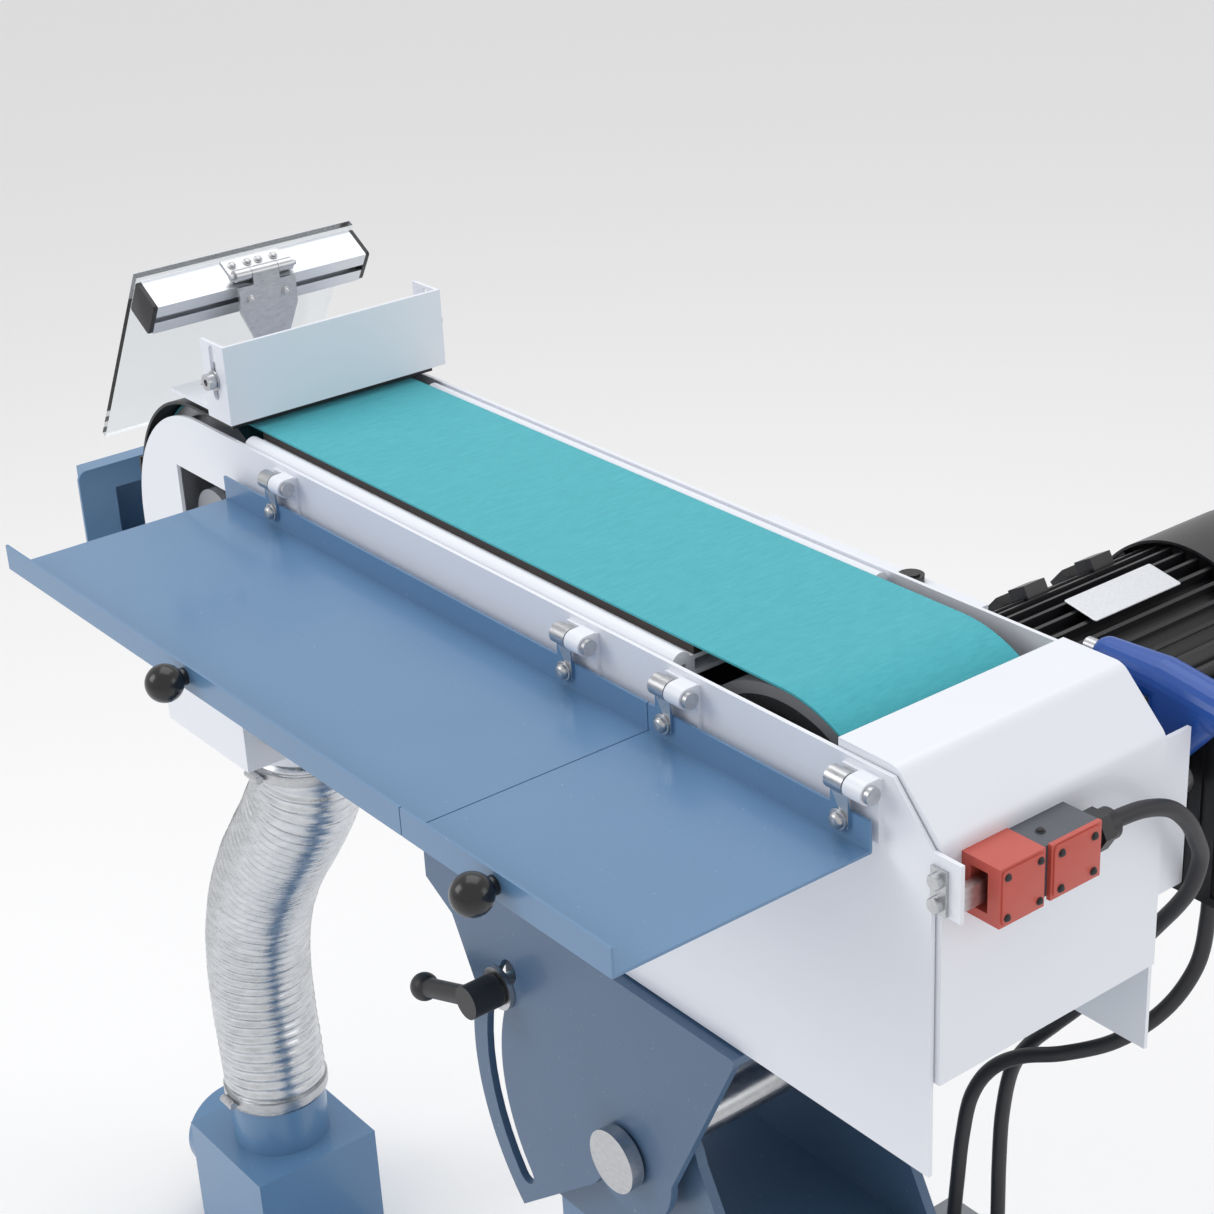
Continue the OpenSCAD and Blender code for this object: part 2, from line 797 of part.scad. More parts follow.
module tray_hinges() {
  color(white) at_head() for (x = hinge_x) {
    span([x - 15, -house_y - 3, -50], [x + 15, -house_y, -9]);
    difference() {
      union() {
        translate([0, pin_y, pin_z]) x_cyl(7, x + 0.5, x + 15);
        span([x + 0.5, pin_y, pin_z - 7], [x + 15, -house_y - 2, pin_z + 7]);
      }
      translate([0, pin_y, pin_z]) x_cyl(3, x - 1, x + 16);
    }
  }
}

module hinge_pins() {
  color(steel) at_head() for (x = hinge_x) translate([0, pin_y, pin_z]) {
    x_cyl(3, x - 15, x + 16);
    x_cyl(5.5, x + 15, x + 19);
  }
}

module interlock_key() {
  color(steel) at_head() {
    difference() {
      span([147, -house_y - 2.5, -75], [159, -house_y, -46]);
      for (z = bolt_z) translate([153, 0, z]) y_cyl(2.56, -house_y - 3, -house_y + 1);
    }
    span([hood_back + 10, -inner_y, -70], [hood_back + 17, -62, -56]);
  }
}

module door_bolts() {
  color(steel) at_head() for (z = bolt_z) translate([153, 0, z]) {
    y_cyl(5, -house_y - 7, -house_y - 2.5);
    y_cyl(2.5, -house_y - 3, -inner_y);
  }
}

// A folding tray between x0 and x1 with its hinge tongues
module tray(x0, x1, pins, knob_x) {
  at_head() {
    span([x0, tray_out, tray_floor], [x1, tray_in, tray_floor + 2]);
    span([x0, tray_in - 2, tray_floor], [x1, tray_in, tray_floor + rim_h + 2]);
    difference() {
      span([x0, tray_out, tray_floor], [x1, tray_out + 2, tray_floor + rim_h]);
      translate([knob_x, 0, tray_floor + 10]) y_cyl(3.05, tray_out - 1, tray_out + 3);
    }
    for (x = pins) difference() {
      union() {
        translate([0, pin_y, pin_z]) x_cyl(7, x - 15, x - 0.5);
        span([x - 15, tray_in - 4, -44], [x - 0.5, tray_in - 2, pin_z]);
      }
      translate([0, pin_y, pin_z]) x_cyl(3.05, x - 16, x);
    }
  }
}

// A ball knob with its stud through the tray's outer rim
module ball_knob(x) {
  at_head() translate([x, tray_out, tray_floor + 10]) difference() {
    union() {
      translate([0, -knob_d / 2 - 2, 0]) sphere(d = knob_d);
      y_cyl(6, -5, 0);
      y_cyl(3, -3, 7);
    }
    y_cyl(1.5, 3, 8);
  }
}

module left_tray() { color(blue) tray(tray_l, tray_split, [hinge_x[0], hinge_x[1]], left_knob_x); }
module right_tray() { color(blue) tray(tray_split + 1, tray_r, [hinge_x[2], hinge_x[3]], right_knob_x); }
module left_knob() { color(dark) ball_knob(left_knob_x); }
module right_knob() { color(dark) ball_knob(right_knob_x); }

// ---------- Spark guard and eye shield ----------
module guard_bracket() {
  color(white) at_head() {
    difference() {
      span([-712, -inner_y, guard_z], [guard_x - 3, inner_y, guard_z + 3]);
      for (y = [-70, 70]) translate([-700, y, guard_z - 1]) cylinder(r = 3, h = 5);
    }
    for (s = [-1, 1]) difference() {
      span([guard_x - 29, s > 0 ? inner_y : -house_y + 0.4, guard_z],
        [guard_x - 3, s > 0 ? house_y - 0.4 : -inner_y, guard_z + 46]);
      translate([screw_x, 0, screw_z]) y_cyl(3.5, -120, 120);
    }
    span([-700, house_y - sheet_t, guard_z], [-650, house_y + 3, guard_z + 3]);
    span([-700, house_y, -40], [-650, house_y + 3, guard_z + 3]);
  }
}

module guard_screws() {
  color(steel) at_head() translate([screw_x, 0, screw_z]) for (s = [-1, 1]) mirror([0, s < 0 ? 1 : 0, 0]) {
    y_cyl(3.5, inner_y - 6, house_y + 4);
    y_cyl(8, house_y + 3.2, house_y + 4.4);
    difference() {
      y_cyl(6.5, house_y + 4.2, house_y + 11);
      translate([0, house_y + 8, 0]) rotate([-90, 0, 0]) cylinder(r = 3, h = 5, $fn = 6);
    }
  }
}

module spark_guard() {
  color(white) at_head() {
    span([guard_x, -house_y - 3, guard_z], [guard_x + 3, house_y + 3, guard_z + guard_h]);
    for (s = [-1, 1]) side_sheet(s > 0 ? house_y : -house_y - 3, 3) difference() {
      translate([guard_x - 32, guard_z]) square([34, guard_h]);
      for (z = [30, 66]) translate([screw_x, z]) circle(4.2);
      translate([screw_x - 4.2, 30]) square([8.4, 36]);
    }
  }
}

module shield_bracket() {
  color(steel) at_head() {
    translate([-686, 0, 0]) rotate([90, 0, 90]) linear_extrude(3) difference() {
      polygon([[-28, guard_z + 3], [4, guard_z + 3], [5, 45], [14, 66], [14, 88], [-38, 88], [-38, 66],
        [-29, 45]]);
      for (y = [-28, 4]) translate([y, 76]) circle(2.5);
    }
    span([-712, -28, guard_z + 3], [-683, 4, guard_z + 6]);
    translate([shield_pin[0], 0, shield_pin[1]]) difference() {
      union() {
        y_cyl(5, -24, 0);
        span([2.5, -24, -9], [5, 0, 0]);
      }
      y_cyl(2.5, -30, 5);
    }
  }
}

// Places children with +X across the profile's top face and -Z down the sheet
module at_shield() {
  at_head() translate([shield_pin[0], 0, shield_pin[1]]) rotate([0, shield_tilt, 0]) children();
}

module shield_profile() {
  color([0.8, 0.81, 0.83]) at_shield() difference() {
    span([-24, shield_y0 + 4, -profile_a - 6], [-24 + profile_a, shield_y1 - 4, -6]);
    for (y = [shield_y0]) {
      span([-24 + profile_a - 7, y, -profile_a / 2 - 9], [-24 + profile_a + 1, shield_y1, -profile_a / 2 - 3]);
      span([-24 + profile_a - 9, y, -profile_a / 2 - 13], [-24 + profile_a - 2.5, shield_y1, -profile_a / 2 + 1]);
    }
  }
}

module eye_shield() {
  color([0.85, 0.9, 0.95, 0.35]) at_shield() span([-29, shield_y0, -190], [-24, shield_y1, -2]);
}

module shield_hinge() {
  color(steel) at_shield() {
    span([-22, -38, -6], [-6, 14, -4.4]);
    difference() {
      union() {
        for (y = [-38, 0.3]) y_cyl_at(y, 5);
        for (y = [-38, 0.3]) span([-7, y, -6], [0, y + 13.7, -4]);
      }
      y_cyl(2.3, -50, 50);
    }
    y_cyl(2.4, -42, 18);
  }
}

// A hinge knuckle 13.7 long starting at y
module y_cyl_at(y, r) { y_cyl(r, y, y + 13.7); }

base_plate();
column();
yoke();
stand_bolts();
switch_box();
selector_knob();
stop_button();
dust_box();
dust_hose();
pivot_bolt();
clamp_stud();
clamp_lever();
head_bracket();
far_plate();
main_beam();
platen();
graphite_pad();
abrasive_belt();
rear_hood();
end_cover();
dust_chute();
spark_box();
motor_body();
motor_bearings();
fan_cowl();
terminal_box();
switch_body();
switch_head();
cable_gland();
interlock_cable();
motor_cable();
tracking_bracket();
guard_bracket();
guard_screws();
shield_bracket();
wheel_hub();
wheel_tyre();
motor_shaft();
motor_fan();
idler_drum();
idler_bearings();
idler_carriage();
tension_rod();
tension_lever();
lever_grip();
tracking_knob();
side_door();
tray_hinges();
hinge_pins();
interlock_key();
door_bolts();
left_tray();
left_knob();
right_tray();
right_knob();
spark_guard();
shield_profile();
eye_shield();
shield_hinge();
door_pins();
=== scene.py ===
import math
import bmesh
import bpy
from mathutils import Matrix, Vector


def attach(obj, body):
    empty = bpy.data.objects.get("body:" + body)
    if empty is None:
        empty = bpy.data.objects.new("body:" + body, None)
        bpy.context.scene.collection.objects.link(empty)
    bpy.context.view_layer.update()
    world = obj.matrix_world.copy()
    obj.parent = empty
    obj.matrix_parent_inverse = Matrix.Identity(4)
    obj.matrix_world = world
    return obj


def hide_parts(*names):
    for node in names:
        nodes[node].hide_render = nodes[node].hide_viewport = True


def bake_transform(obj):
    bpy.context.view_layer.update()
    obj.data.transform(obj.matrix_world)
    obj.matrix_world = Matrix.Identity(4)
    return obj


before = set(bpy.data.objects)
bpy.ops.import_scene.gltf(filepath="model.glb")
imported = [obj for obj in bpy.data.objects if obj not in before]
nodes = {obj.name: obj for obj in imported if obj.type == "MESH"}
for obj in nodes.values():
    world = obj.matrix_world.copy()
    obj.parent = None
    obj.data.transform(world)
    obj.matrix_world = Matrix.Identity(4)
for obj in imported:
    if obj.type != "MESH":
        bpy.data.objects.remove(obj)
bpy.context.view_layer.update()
headAt = Vector((0.140, 0.0, 1.000))  # the belt face above the contact wheel, at rest


def mm(x, y, z):  # a place on the head, in millimetres, as metres in the shared frame
    return headAt + Vector((x, y, z)) / 1000


def hexToLinear(hexColour):
    parts = [int(hexColour[i:i + 2], 16) / 255 for i in (1, 3, 5)]
    return [p / 12.92 if p <= 0.04045 else ((p + 0.055) / 1.055) ** 2.4 for p in parts] + [1.0]


def perMetre(sizeMm):  # noise scale that gives features of this size
    return 1000.0 / sizeMm


def addNode(tree, kind, settings=None, links=None):
    node = tree.nodes.new(kind)
    for key, value in (settings or {}).items():
        if isinstance(key, int) or key in node.inputs:
            node.inputs[key].default_value = value
        else:
            setattr(node, key, value)
    for key, source in (links or {}).items():
        tree.links.new(source, node.inputs[key])
    return node


def newMaterial(name, settings):
    material = bpy.data.materials.new(name)
    material.use_nodes = True
    tree = material.node_tree
    tree.nodes.clear()
    shader = addNode(tree, "ShaderNodeBsdfPrincipled", settings)
    addNode(tree, "ShaderNodeOutputMaterial", None, {"Surface": shader.outputs["BSDF"]})
    place = addNode(tree, "ShaderNodeTexCoord").outputs["Object"]
    return material, tree, shader, place


# ---- Finishes ----
def powderCoat(name, look):
    # Polyester powder baked on sheet steel: satin, with a faint orange peel and slightly cloudy tone.
    material, tree, shader, place = newMaterial(name, {
        "Roughness": look["roughness"], "Coat Weight": look["coat"], "Coat Roughness": 0.12})
    cloud = addNode(tree, "ShaderNodeTexNoise", {"Scale": perMetre(120), "Detail": 3.0}, {"Vector": place})
    tone = addNode(tree, "ShaderNodeMix", {"data_type": "RGBA", 6: hexToLinear(look["colour"]),
        7: hexToLinear(look["cloud"])}, {0: cloud.outputs["Fac"]})
    dust = addNode(tree, "ShaderNodeTexNoise", {"Scale": perMetre(look["speckMm"]), "Detail": 2.0},
        {"Vector": place})
    specks = addNode(tree, "ShaderNodeMapRange", {"From Min": 0.70, "From Max": 0.80,
        "To Min": 0.0, "To Max": look["specks"]}, {"Value": dust.outputs["Fac"]})
    dusty = addNode(tree, "ShaderNodeMix", {"data_type": "RGBA", 7: hexToLinear("#E4E6EA")},
        {0: specks.outputs["Result"], 6: tone.outputs[2]})
    tree.links.new(dusty.outputs[2], shader.inputs["Base Color"])
    peel = addNode(tree, "ShaderNodeTexNoise", {"Scale": perMetre(look["peelMm"]), "Detail": 1.0},
        {"Vector": place})
    bump = addNode(tree, "ShaderNodeBump", {"Strength": 0.10, "Distance": 0.0003},
        {"Height": peel.outputs["Fac"]})
    tree.links.new(bump.outputs["Normal"], shader.inputs["Normal"])
    return material


def brushedMetal(name, look):
    # Bare or plated metal with fine lines along one direction: bright, with soft streaked highlights.
    material, tree, shader, place = newMaterial(name, {"Metallic": 1.0})
    grain = addNode(tree, "ShaderNodeMapping", {"Scale": look["grain"]}, {"Vector": place})
    lines = addNode(tree, "ShaderNodeTexNoise", {"Scale": 1.0, "Detail": 4.0},
        {"Vector": grain.outputs["Vector"]})
    tone = addNode(tree, "ShaderNodeMix", {"data_type": "RGBA", 6: hexToLinear(look["dark"]),
        7: hexToLinear(look["light"])}, {0: lines.outputs["Fac"]})
    rough = addNode(tree, "ShaderNodeMapRange", {"To Min": look["smooth"], "To Max": look["rough"]},
        {"Value": lines.outputs["Fac"]})
    bump = addNode(tree, "ShaderNodeBump", {"Strength": 0.15, "Distance": 0.0001},
        {"Height": lines.outputs["Fac"]})
    tree.links.new(tone.outputs[2], shader.inputs["Base Color"])
    tree.links.new(rough.outputs["Result"], shader.inputs["Roughness"])
    tree.links.new(bump.outputs["Normal"], shader.inputs["Normal"])
    return material


def mouldedPlastic(name, look):
    # Injection-moulded polymer: even colour, fine spark-eroded texture, soft highlights.
    material, tree, shader, place = newMaterial(name, {"Roughness": look["roughness"], "IOR": look["ior"]})
    texture = addNode(tree, "ShaderNodeTexNoise", {"Scale": perMetre(look["textureMm"]), "Detail": 2.0},
        {"Vector": place})
    wide = addNode(tree, "ShaderNodeTexNoise", {"Scale": perMetre(25), "Detail": 2.0}, {"Vector": place})
    tone = addNode(tree, "ShaderNodeMix", {"data_type": "RGBA", 6: hexToLinear(look["colour"]),
        7: hexToLinear(look["cloud"])}, {0: wide.outputs["Fac"]})
    bump = addNode(tree, "ShaderNodeBump", {"Strength": look["bump"], "Distance": 0.0002},
        {"Height": texture.outputs["Fac"]})
    tree.links.new(tone.outputs[2], shader.inputs["Base Color"])
    tree.links.new(bump.outputs["Normal"], shader.inputs["Normal"])
    return material


def abrasiveCloth(name):
    # Zirconia grit in resin on polyester cloth: matt teal grains in fine, faint rows across the belt.
    look = {"dark": "#2094A2", "mid": "#33A8B5", "light": "#49B9C5", "gritMm": 1.1, "rowMm": 2.6}
    material, tree, shader, place = newMaterial(name, {"Roughness": 0.72, "Sheen Weight": 0.15,
        "Sheen Roughness": 0.5})
    grit = addNode(tree, "ShaderNodeTexVoronoi", {"Scale": perMetre(look["gritMm"])}, {"Vector": place})
    stretch = addNode(tree, "ShaderNodeMapping", {"Scale": (perMetre(look["rowMm"]),
        perMetre(look["rowMm"] * 5), perMetre(look["rowMm"]))}, {"Vector": place})
    rows = addNode(tree, "ShaderNodeTexNoise", {"Scale": 1.0, "Detail": 3.0, "Roughness": 0.5,
        "Distortion": 0.3}, {"Vector": stretch.outputs["Vector"]})
    base = addNode(tree, "ShaderNodeMix", {"data_type": "RGBA", 6: hexToLinear(look["dark"]),
        7: hexToLinear(look["light"])}, {0: rows.outputs["Fac"]})
    shade = addNode(tree, "ShaderNodeMapRange", {"From Max": 0.8, "To Min": 0.0, "To Max": 0.55},
        {"Value": grit.outputs["Distance"]})
    grains = addNode(tree, "ShaderNodeMix", {"data_type": "RGBA", 7: hexToLinear(look["mid"])},
        {0: shade.outputs["Result"], 6: base.outputs[2]})
    bump = addNode(tree, "ShaderNodeBump", {"Strength": 0.5, "Distance": 0.0004},
        {"Height": grit.outputs["Distance"]})
    tree.links.new(grains.outputs[2], shader.inputs["Base Color"])
    tree.links.new(bump.outputs["Normal"], shader.inputs["Normal"])
    return material


def clearSheet(name):
    # Polished clear sheet; its refraction is set well below polycarbonate so that the edges stay light.
    material, tree, shader, place = newMaterial(name, {"Roughness": 0.03, "IOR": 1.22,
        "Transmission Weight": 1.0})
    haze = addNode(tree, "ShaderNodeTexNoise", {"Scale": perMetre(60), "Detail": 2.0}, {"Vector": place})
    tone = addNode(tree, "ShaderNodeMix", {"data_type": "RGBA", 6: hexToLinear("#F2F7FA"),
        7: hexToLinear("#FAFCFD")}, {0: haze.outputs["Fac"]})
    tree.links.new(tone.outputs[2], shader.inputs["Base Color"])
    return material


whitePaint = powderCoat("whitePowderCoat", {"colour": "#E9ECF3", "cloud": "#E3E6EF", "roughness": 0.38,
    "coat": 0.25, "specks": 0.0, "speckMm": 3, "peelMm": 2.2})
bluePaint = powderCoat("greyBluePowderCoat", {"colour": "#5B80A6", "cloud": "#6188AE", "roughness": 0.33,
    "coat": 0.35, "specks": 0.25, "speckMm": 3, "peelMm": 2.0})
darkBluePaint = powderCoat("bracketPowderCoat", {"colour": "#47617F", "cloud": "#4D6988", "roughness": 0.42,
    "coat": 0.2, "specks": 0.2, "speckMm": 3, "peelMm": 2.0})
blackPaint = powderCoat("blackPowderCoat", {"colour": "#1A1A1D", "cloud": "#202023", "roughness": 0.45,
    "coat": 0.1, "specks": 0.12, "speckMm": 2, "peelMm": 1.5})
motorPaint = powderCoat("castMotorEnamel", {"colour": "#151518", "cloud": "#1D1D21", "roughness": 0.40,
    "coat": 0.2, "specks": 0.15, "speckMm": 2, "peelMm": 1.2})
greyPaint = powderCoat("greyPrimerCoat", {"colour": "#8E9298", "cloud": "#999DA3", "roughness": 0.5,
    "coat": 0.1, "specks": 0.1, "speckMm": 2, "peelMm": 1.5})
zincSteel = brushedMetal("zincPlatedSteel", {"dark": "#A9ABAE", "light": "#D5D6D8",
    "grain": (perMetre(6), perMetre(6), perMetre(2)), "smooth": 0.22, "rough": 0.42})
anodised = brushedMetal("anodisedAluminium", {"dark": "#C3C6CB", "light": "#DDE0E4",
    "grain": (perMetre(0.8), perMetre(60), perMetre(0.8)), "smooth": 0.30, "rough": 0.45})
turnedMetal = brushedMetal("turnedAluminium", {"dark": "#9C9EA2", "light": "#C4C6CA",
    "grain": (perMetre(30), perMetre(1), perMetre(30)), "smooth": 0.28, "rough": 0.45})
blackPlastic = mouldedPlastic("blackPhenolic", {"colour": "#101012", "cloud": "#17171A", "roughness": 0.22,
    "ior": 1.55, "textureMm": 1.2, "bump": 0.02})
gripBlack = mouldedPlastic("blackNylon", {"colour": "#1B1B1E", "cloud": "#232327", "roughness": 0.45,
    "ior": 1.53, "textureMm": 0.8, "bump": 0.10})
switchGrey = mouldedPlastic("greyAbs", {"colour": "#4A4E57", "cloud": "#535760", "roughness": 0.42,
    "ior": 1.54, "textureMm": 0.7, "bump": 0.12})
switchRed = mouldedPlastic("redAbs", {"colour": "#C4574B", "cloud": "#BC4F43", "roughness": 0.45,
    "ior": 1.54, "textureMm": 0.7, "bump": 0.12})
buttonRed = mouldedPlastic("redPolycarbonate", {"colour": "#C4161A", "cloud": "#B51216", "roughness": 0.25,
    "ior": 1.58, "textureMm": 1.0, "bump": 0.03})
leverBlue = mouldedPlastic("blueDippedVinyl", {"colour": "#15499B", "cloud": "#1A50A6", "roughness": 0.30,
    "ior": 1.52, "textureMm": 2.0, "bump": 0.05})
tyreRubber = mouldedPlastic("groundTyreRubber", {"colour": "#77797D", "cloud": "#6C6E72", "roughness": 0.80,
    "ior": 1.52, "textureMm": 1.0, "bump": 0.35})
cableRubber = mouldedPlastic("cableRubber", {"colour": "#232327", "cloud": "#2B2B2F", "roughness": 0.50,
    "ior": 1.50, "textureMm": 0.9, "bump": 0.10})
graphite = mouldedPlastic("graphiteCloth", {"colour": "#2E2523", "cloud": "#3B302C", "roughness": 0.60,
    "ior": 1.60, "textureMm": 1.5, "bump": 0.35})
beltCloth = abrasiveCloth("zirconiaAbrasiveCloth")
clearPlastic = clearSheet("clearPolycarbonate")
foil = brushedMetal("aluminiumFoil", {"dark": "#B4B7BC", "light": "#EEF0F2",
    "grain": (perMetre(14), perMetre(14), perMetre(5)), "smooth": 0.18, "rough": 0.38})
plateMetal = brushedMetal("printedAluminiumPlate", {"dark": "#C9CBCF", "light": "#E2E4E8",
    "grain": (perMetre(2), perMetre(2), perMetre(2)), "smooth": 0.4, "rough": 0.55})
print("finishes made")

wears = {
    whitePaint: ["far_plate", "platen", "rear_hood", "dust_chute", "tracking_bracket", "guard_bracket",
        "side_door", "tray_hinges", "spark_guard"],
    bluePaint: ["left_tray", "right_tray", "base_plate", "column", "spark_box", "dust_box"],
    darkBluePaint: ["yoke", "head_bracket"],
    blackPaint: ["end_cover", "wheel_hub"],
    motorPaint: ["motor_body", "fan_cowl", "terminal_box"],
    greyPaint: ["main_beam", "idler_carriage", "switch_box"],
    zincSteel: ["stand_bolts", "pivot_bolt", "clamp_stud", "motor_bearings", "guard_screws", "shield_bracket",
        "motor_shaft", "idler_bearings", "tension_rod", "tension_lever", "hinge_pins", "interlock_key",
        "door_bolts", "shield_hinge", "door_pins"],
    anodised: ["shield_profile"],
    turnedMetal: ["idler_drum"],
    blackPlastic: ["left_knob", "right_knob", "tracking_knob"],
    gripBlack: ["clamp_lever", "selector_knob", "cable_gland", "motor_fan"],
    switchGrey: ["switch_body"], switchRed: ["switch_head"], buttonRed: ["stop_button"],
    leverBlue: ["lever_grip"], tyreRubber: ["wheel_tyre"], graphite: ["graphite_pad"],
    beltCloth: ["abrasive_belt"], clearPlastic: ["eye_shield"],
    cableRubber: ["motor_cable", "interlock_cable"], foil: ["dust_hose"]}
for material, names in wears.items():
    for name in names:
        mesh = nodes[name].data
        mesh.materials.clear()
        mesh.materials.append(material)
for name in nodes:
    if name not in sum(wears.values(), []):
        print("no finish for", name)
for name in ("left_tray", "right_tray"):  # the hinge tongues and knuckles stay plated
    mesh = nodes[name].data
    mesh.materials.append(zincSteel)
    for face in mesh.polygons:
        place = nodes[name].matrix_world @ face.center - headAt
        if place.z > -0.0325 and place.y > -0.1165:
            face.material_index = 1
for name in ["left_knob", "right_knob", "lever_grip", "abrasive_belt", "rear_hood", "wheel_hub", "wheel_tyre",
             "end_cover", "fan_cowl", "clamp_lever", "platen"]:
    edges = nodes[name].modifiers.new("softEdges", "EDGE_SPLIT")
    edges.split_angle = math.radians(32)
    for face in nodes[name].data.polygons:
        face.use_smooth = True
print("frame dressed")


# ---- Making pieces ----
def meshPiece(name, verts, faces, material, body, smooth=False, slot=None):
    mesh = bpy.data.meshes.new(name)
    mesh.from_pydata([tuple(v) for v in verts], [], faces)
    mesh.materials.append(material)
    work = bmesh.new()
    work.from_mesh(mesh)
    bmesh.ops.recalc_face_normals(work, faces=work.faces)
    work.to_mesh(mesh)
    work.free()
    piece = bpy.data.objects.new(name, mesh)
    bpy.context.collection.objects.link(piece)
    for face in mesh.polygons:
        face.use_smooth = smooth
    if smooth:
        edges = piece.modifiers.new("softEdges", "EDGE_SPLIT")
        edges.split_angle = math.radians(35)
    if body:
        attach(piece, body)
    return piece


def axesFrom(normal, across):
    n = Vector(normal).normalized()
    a = (Vector(across) - n * n.dot(Vector(across))).normalized()
    return a, n.cross(a), n


def turned(parts, profile, place, normal, sides=32, flats=0):
    # Adds a turned shape to parts; profile is (radius, height) in mm from the seat outwards.
    a, b, n = axesFrom(normal, (0.31, 0.2, 0.9) if abs(Vector(normal).normalized().z) < 0.9 else (1, 0, 0))
    verts, faces = parts
    start = len(verts)
    for r, h in profile:
        for k in range(sides):
            t = 2 * math.pi * k / sides
            radius = r
            if flats and r > 0:
                wedge = (t % (2 * math.pi / flats)) - math.pi / flats
                radius = r * math.cos(math.pi / flats) / math.cos(wedge)
            verts.append(place + (a * math.cos(t) + b * math.sin(t)) * radius / 1000 + n * h / 1000)
    for i in range(len(profile) - 1):
        for k in range(sides):
            p = start + i * sides + k
            q = start + i * sides + (k + 1) % sides
            faces.append((p, q, q + sides, p + sides))
    faces.append(tuple(start + k for k in reversed(range(sides))))
    faces.append(tuple(start + (len(profile) - 1) * sides + k for k in range(sides)))


domeScrew = {"head": 4.6, "height": 3.2, "socket": 2.2, "washer": 6.0, "washerT": 1.2}


def screwHead(parts, place, normal, size=1.0):
    # Button-head screw with a hex socket on its washer
    washer = domeScrew["washer"] * size
    seat = domeScrew["washerT"] * size
    head = domeScrew["head"] * size
    socket = domeScrew["socket"] * size
    top = seat + domeScrew["height"] * size
    turned(parts, [(washer * 0.9, -0.4), (washer, 0.15), (washer, seat - 0.2), (washer - 0.3, seat),
        (head, seat), (head, seat + 0.8 * size), (head * 0.93, seat + 1.7 * size),
        (head * 0.75, seat + 2.6 * size), (head * 0.55, top)], place, normal, 24)
    turned(parts, [(socket, top - 0.3), (socket, top + 0.05), (socket * 0.8, top - 0.9 * size),
        (0.1, top - 1.0 * size)], place, normal, 24, 6)


def roundedPlate(parts, place, normal, across, width, height, thick, corner, edge=0.6):
    # Plate with rounded corners and a softened front edge
    a, b, n = axesFrom(normal, across)
    verts, faces = parts
    rings = []
    for inset, level in ((0, 0), (0, thick - edge), (edge * 0.3, thick - edge * 0.3), (edge, thick)):
        ring = []
        for cx, cy, t0 in ((1, 1, 0), (-1, 1, 90), (-1, -1, 180), (1, -1, 270)):
            for k in range(6):
                t = math.radians(t0 + 18 * k)
                x = cx * (width / 2 - corner) + (corner - inset) * math.cos(t)
                y = cy * (height / 2 - corner) + (corner - inset) * math.sin(t)
                verts.append(place + (a * x + b * y + n * level) / 1000)
                ring.append(len(verts) - 1)
        rings.append(ring)
    for low, high in zip(rings, rings[1:]):
        for k in range(24):
            faces.append((low[k], low[(k + 1) % 24], high[(k + 1) % 24], high[k]))
    faces.append(tuple(reversed(rings[0])))
    faces.append(tuple(rings[-1]))


def smoothRoute(points, steps):
    path = []
    for i in range(len(points) - 1):
        a, b = points[max(i - 1, 0)], points[i]
        c, d = points[i + 1], points[min(i + 2, len(points) - 1)]
        for k in range(steps):
            t = k / steps
            path.append(0.5 * (2 * b + (c - a) * t + (2 * a - 5 * b + 4 * c - d) * t * t
                + (3 * b - a - 3 * c + d) * t ** 3))
    path.append(points[-1])
    return path


def evenly(path, step):
    out, left = [path[0]], step
    for a, b in zip(path, path[1:]):
        length = (b - a).length
        while left <= length:
            out.append(a.lerp(b, left / length))
            left += step
        left -= length
    out.append(path[-1])
    return out


def sweptTube(parts, path, radiusAt, sides):
    verts, faces = parts
    start = len(verts)
    side, s = None, 0.0
    for i, p in enumerate(path):
        ahead = (path[min(i + 1, len(path) - 1)] - path[max(i - 1, 0)]).normalized()
        side = (Vector((0, 1, 0)) if side is None and abs(ahead.y) < 0.9 else side or Vector((1, 0, 0)))
        side = (side - ahead * side.dot(ahead)).normalized()
        up = ahead.cross(side)
        if i:
            s += (p - path[i - 1]).length
        for k in range(sides):
            t = 2 * math.pi * k / sides
            verts.append(p + (side * math.cos(t) + up * math.sin(t)) * radiusAt(s, t))
    for i in range(len(path) - 1):
        for k in range(sides):
            p = start + i * sides + k
            q = start + i * sides + (k + 1) % sides
            faces.append((p, q, q + sides, p + sides))
    faces.append(tuple(start + k for k in reversed(range(sides))))
    faces.append(tuple(start + (len(path) - 1) * sides + k for k in range(sides)))


# ---- Extraction hose ----
hose = {"pitchMm": 10.5, "ribMm": 2.6, "outerMm": 51.9,
    "route": [(-590, 644), (-590, 637), (-590, 628), (-603, 590), (-638, 540), (-684, 480), (-718, 420),
        (-736, 360), (-740, 300), (-737, 250), (-735, 210), (-735, 192)]}
hoseLine = evenly(smoothRoute([Vector((x, 0, z)) / 1000 for x, z in hose["route"]], 8), 0.0021)


def hoseRadius(s, t):
    turn = (s * 1000 / hose["pitchMm"] + t / (2 * math.pi)) % 1.0
    rib = max(0.0, math.cos(2 * math.pi * (turn - 0.5))) ** 0.6
    crinkle = 0.25 * math.sin(7 * t + 180 * s) * math.sin(3 * t - 310 * s)
    return (hose["outerMm"] - hose["ribMm"] * (1 - rib) - 0.3 + min(0.25, crinkle)) / 1000


